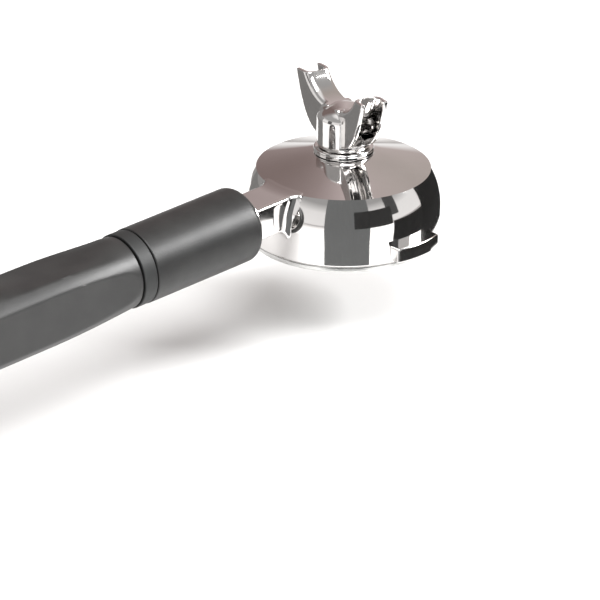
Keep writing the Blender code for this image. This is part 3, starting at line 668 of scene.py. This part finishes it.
def make_washer(name, node, inner, edge):
    """A ring on the handle's axis with rounded outer edges, as long and as wide as its CAD node."""
    start, end, radius = span(node)
    corners = [(inner, start), (radius, start, edge), (radius, end, edge), (inner, end)]
    return lathe(name, rounded(corners), HANDLE)


def make_cap():
    end = span("end_cap")[1] - CAP_SHORTFALL
    start = span("handle_grip")[1] + GAP
    inner = CAP_SKIRT - CAP_SKIRT_WALL
    outline = [(0, start), (inner, start), (inner, start - CAP_SKIRT_LENGTH)]
    skirt_end = start - CAP_SKIRT_LENGTH
    outline += [(CAP_SKIRT - CAP_EDGE, skirt_end), (CAP_SKIRT, skirt_end + CAP_EDGE), (CAP_SKIRT, start)]
    for x, y in arc((0, 0), 1, 0, 90, 24)[:-1]:
        outline.append((CAP_RIM * x**CAP_FULLNESS, start + (end - start) * y))
    outline.append((0, end))
    return lathe("cap", outline, HANDLE, SMALL_ROUND)


finish(make_cup(), "cup", "cup_body", chrome)
finish(make_basket(), "basket", "filter_basket", steel)
finish(make_stud(), "cup", "handle_stud", steel, 60)
finish(make_base_ring(), "spout_ring", "spout_base_ring", chrome)
finish(make_spout(), "spout", "double_spout", cast_chrome, 180)
finish(make_tail(), "spout", "double_spout", cast_chrome, 60)
collar = make_washer("collar", "neck_collar", STUD_RADIUS + 2 * GAP, COLLAR_EDGE)
finish(collar, "collar", "neck_collar", chrome)
finish(make_sleeve(), "handle", "handle_sleeve", plastic)
band = make_washer("band", "handle_band", CORE_HOLE, BAND_EDGE)
finish(band, "handle", "handle_band", soft_plastic)
finish(make_grip(), "handle", "handle_grip", smooth_plastic)
finish(make_cap(), "handle", "end_cap", smooth_plastic)

kept = {
    "basket_spring": steel, "spout_seal": rubber, "handle_core": brass, "end_washer": steel,
    "split_washer": steel, "end_screw": steel, "cap_ring": rubber,
}
for node, material in kept.items():
    frame["nodes"][node].data.materials.clear()
    frame["nodes"][node].data.materials.append(material)


# Stage, light and camera

VIEW_TURN = radians(-44.7)
VIEW_RISE = radians(23.3)
VIEW_DISTANCE = 0.8
VIEW_ROLL = radians(0.8)
AIM = Vector((handle_start.x, 0, 0.013))
AIM_RAY = Vector((0.018926, 0.044586, -1)).normalized()  # where the aim sits in the view
LENS = 136.32
FLOOR = -0.030
FLOOR_REACH = 3.0  # half the floor's side
LIGHT_AIM = Vector((0, 0, 0.02))
CARD_STEPS = 8
BACKDROP = (0.93, 0.93, 0.925, 1)

# Cards round the cup, which glow and show only in reflections, as painted light and dark reflections on the
# chrome: from one turn to another, distance, from one height to another, colour of the glow.
CARDS = {
    "front_card": (-17, 26, 95, -29, 78, (0.165, 0.17, 0.17)),
    "small_dark_card": (11, 49, 92, 12, 44, (0.03, 0.03, 0.03)),
    "side_card": (50, 88, 95, -29, 16, (0.012, 0.012, 0.012)),
    "right_card": (88, 142, 100, -29, 60, (0.008, 0.008, 0.008)),
    "left_floor_card": (-135, -96, 150, -29, 25, (0.20, 0.195, 0.19)),
    "left_streak": (-68, -50, 170, 10, 120, (0.10, 0.098, 0.096)),
    "right_streak": (48, 62, 170, 36, 150, (0.07, 0.07, 0.07)),
    "left_wall": (-150, -96, 260, -29, 160, (0.30, 0.29, 0.285)),
}
# Lights: turn, distance and height, width and height of the light itself, watts.
LIGHTS = {
    "key_light": (15, 350, 750, 600, 500, 7.0),
    "side_light": (95, 850, 570, 350, 350, 13.0),
}


def plain(name, colour, glow=None):
    """A matt material, which may shine by itself."""
    material = bpy.data.materials.new(name)
    material.use_nodes = True
    shader = material.node_tree.nodes["Principled BSDF"]
    shader.inputs["Base Color"].default_value = (*colour, 1)
    shader.inputs["Roughness"].default_value = 0.9
    if glow:
        shader.inputs["Emission Color"].default_value = (*glow, 1)
        shader.inputs["Emission Strength"].default_value = 1.0
    return material


def staged(name, points, faces, material):
    """A mesh that stands by the model and isn't part of it."""
    mesh = bpy.data.meshes.new(name)
    mesh.from_pydata([tuple(point) for point in points], [], faces)
    mesh.materials.append(material)
    obj = bpy.data.objects.new(name, mesh)
    bpy.context.scene.collection.objects.link(obj)
    return obj


towards = Vector((sin(VIEW_TURN), -cos(VIEW_TURN), 0))  # from the cup to the viewer, level
right = Vector((cos(VIEW_TURN), sin(VIEW_TURN), 0))


def around(turn, distance, height):
    """A point round the cup's axis. The turn is from the viewer's side, positive to the right."""
    level = towards * cos(radians(turn)) + right * sin(radians(turn))
    return Vector((AIM.x, 0, height * MM)) + level * distance * MM


def curved_card(name, start, end, distance, low, high, colour):
    """An upright card bent round the cup's axis between two turns, which glows with its colour. Only
    reflections show it, as a painted reflection on the chrome.
    """
    turns = [start + (end - start) * i / CARD_STEPS for i in range(CARD_STEPS + 1)]
    points = [around(turn, distance, height) for turn in turns for height in (low, high)]
    faces = [(2 * i, 2 * i + 2, 2 * i + 3, 2 * i + 1) for i in range(CARD_STEPS)]
    card = staged(name, points, faces, plain(name, (0, 0, 0), colour))
    # the card glows but is hidden from the camera, from diffuse light and from shadows: it only paints a
    # reflection
    card.visible_camera = card.visible_diffuse = card.visible_shadow = False


def soft_light(name, turn, distance, height, width, tall, watts):
    light = bpy.data.lights.new(name, "AREA")
    light.shape = "RECTANGLE"
    light.size, light.size_y = width * MM, tall * MM
    light.energy = watts
    lamp = bpy.data.objects.new(name, light)
    bpy.context.scene.collection.objects.link(lamp)
    lamp.location = around(turn, distance, height)
    lamp.rotation_euler = (LIGHT_AIM - lamp.location).to_track_quat("-Z", "Y").to_euler()


floor_corners = [(x * FLOOR_REACH, y * FLOOR_REACH, FLOOR) for x, y in ((-1, -1), (1, -1), (1, 1), (-1, 1))]
staged("floor", floor_corners, [(0, 1, 2, 3)], plain("floor", (0.86, 0.86, 0.855)))
for name, values in CARDS.items():
    curved_card(name, *values)
for name, values in LIGHTS.items():
    soft_light(name, *values)

world = bpy.data.worlds.new("studio")
bpy.context.scene.world = world
world.use_nodes = True
nodes, links = world.node_tree.nodes, world.node_tree.links
direction = nodes.new("ShaderNodeTexCoord")
parts = nodes.new("ShaderNodeSeparateXYZ")
ramp = nodes.new("ShaderNodeValToRGB")
links.new(direction.outputs["Generated"], parts.inputs["Vector"])
links.new(parts.outputs["Z"], ramp.inputs["Fac"])
bands = [(0.0, 1.0), (0.30, 0.95), (0.50, 0.42), (0.84, 0.42), (0.93, 1.0)]  # place on the ramp, tone
ramp.color_ramp.elements.remove(ramp.color_ramp.elements[1])
for i, (place, tone) in enumerate(bands):
    element = ramp.color_ramp.elements[0] if i == 0 else ramp.color_ramp.elements.new(place)
    element.position = place
    element.color = (tone, tone * 0.985, tone * 0.975, 1)


def share(vector, low, high):
    """How far the view direction leans towards a level vector, from 0 at low to 1 at high."""
    dot = nodes.new("ShaderNodeVectorMath")
    dot.operation = "DOT_PRODUCT"
    dot.inputs[1].default_value = vector
    links.new(direction.outputs["Generated"], dot.inputs[0])
    scaled = nodes.new("ShaderNodeMapRange")
    scaled.inputs["From Min"].default_value = low
    scaled.inputs["From Max"].default_value = high
    links.new(dot.outputs["Value"], scaled.inputs["Value"])
    return scaled.outputs["Result"]


# The far side of the room, which the cone and the shoulder reflect
wall = nodes.new("ShaderNodeValToRGB")
links.new(share(right, -0.30, 0.30), wall.inputs["Fac"])
wall.color_ramp.elements[0].color = (0.22, 0.165, 0.155, 1)
wall.color_ramp.elements[1].color = (0.47, 0.42, 0.39, 1)
for place, tone in ((0.30, (0.36, 0.29, 0.28, 1)), (0.55, (0.60, 0.51, 0.50, 1))):
    wall.color_ramp.elements.new(place).color = tone
mask = nodes.new("ShaderNodeMath")
mask.operation = "MULTIPLY"
links.new(share(-towards, 0.15, 0.45), mask.inputs[0])
links.new(share(Vector((0, 0, 1)), 0.02, 0.12), mask.inputs[1])
mix = nodes.new("ShaderNodeMixRGB")
links.new(mask.outputs["Value"], mix.inputs["Fac"])
links.new(ramp.outputs["Color"], mix.inputs["Color1"])
links.new(wall.outputs["Color"], mix.inputs["Color2"])
# What the camera itself sees behind the model is plain
seen = nodes.new("ShaderNodeLightPath")
backdrop = nodes.new("ShaderNodeMixRGB")
links.new(seen.outputs["Is Camera Ray"], backdrop.inputs["Fac"])
links.new(mix.outputs["Color"], backdrop.inputs["Color1"])
backdrop.inputs["Color2"].default_value = BACKDROP
links.new(backdrop.outputs["Color"], nodes["Background"].inputs["Color"])
nodes["Background"].inputs["Strength"].default_value = 1.0

back = Vector((sin(VIEW_TURN) * cos(VIEW_RISE), -cos(VIEW_TURN) * cos(VIEW_RISE), sin(VIEW_RISE)))
up = back.cross(right)
axes = Matrix((right, up, back)).transposed()
axes = axes @ Matrix.Rotation(VIEW_ROLL, 3, "Z")
axes = axes @ AIM_RAY.rotation_difference(Vector((0, 0, -1))).to_matrix()
camera_data = bpy.data.cameras.new("camera")
camera_data.lens = LENS
camera_data.sensor_width = 36
camera_data.clip_start = 0.01
camera = bpy.data.objects.new("camera", camera_data)
bpy.context.scene.collection.objects.link(camera)
camera.matrix_world = Matrix.Translation(AIM + back * VIEW_DISTANCE) @ axes.to_4x4()
bpy.context.scene.camera = camera
bpy.context.scene.view_settings.view_transform = "Standard"
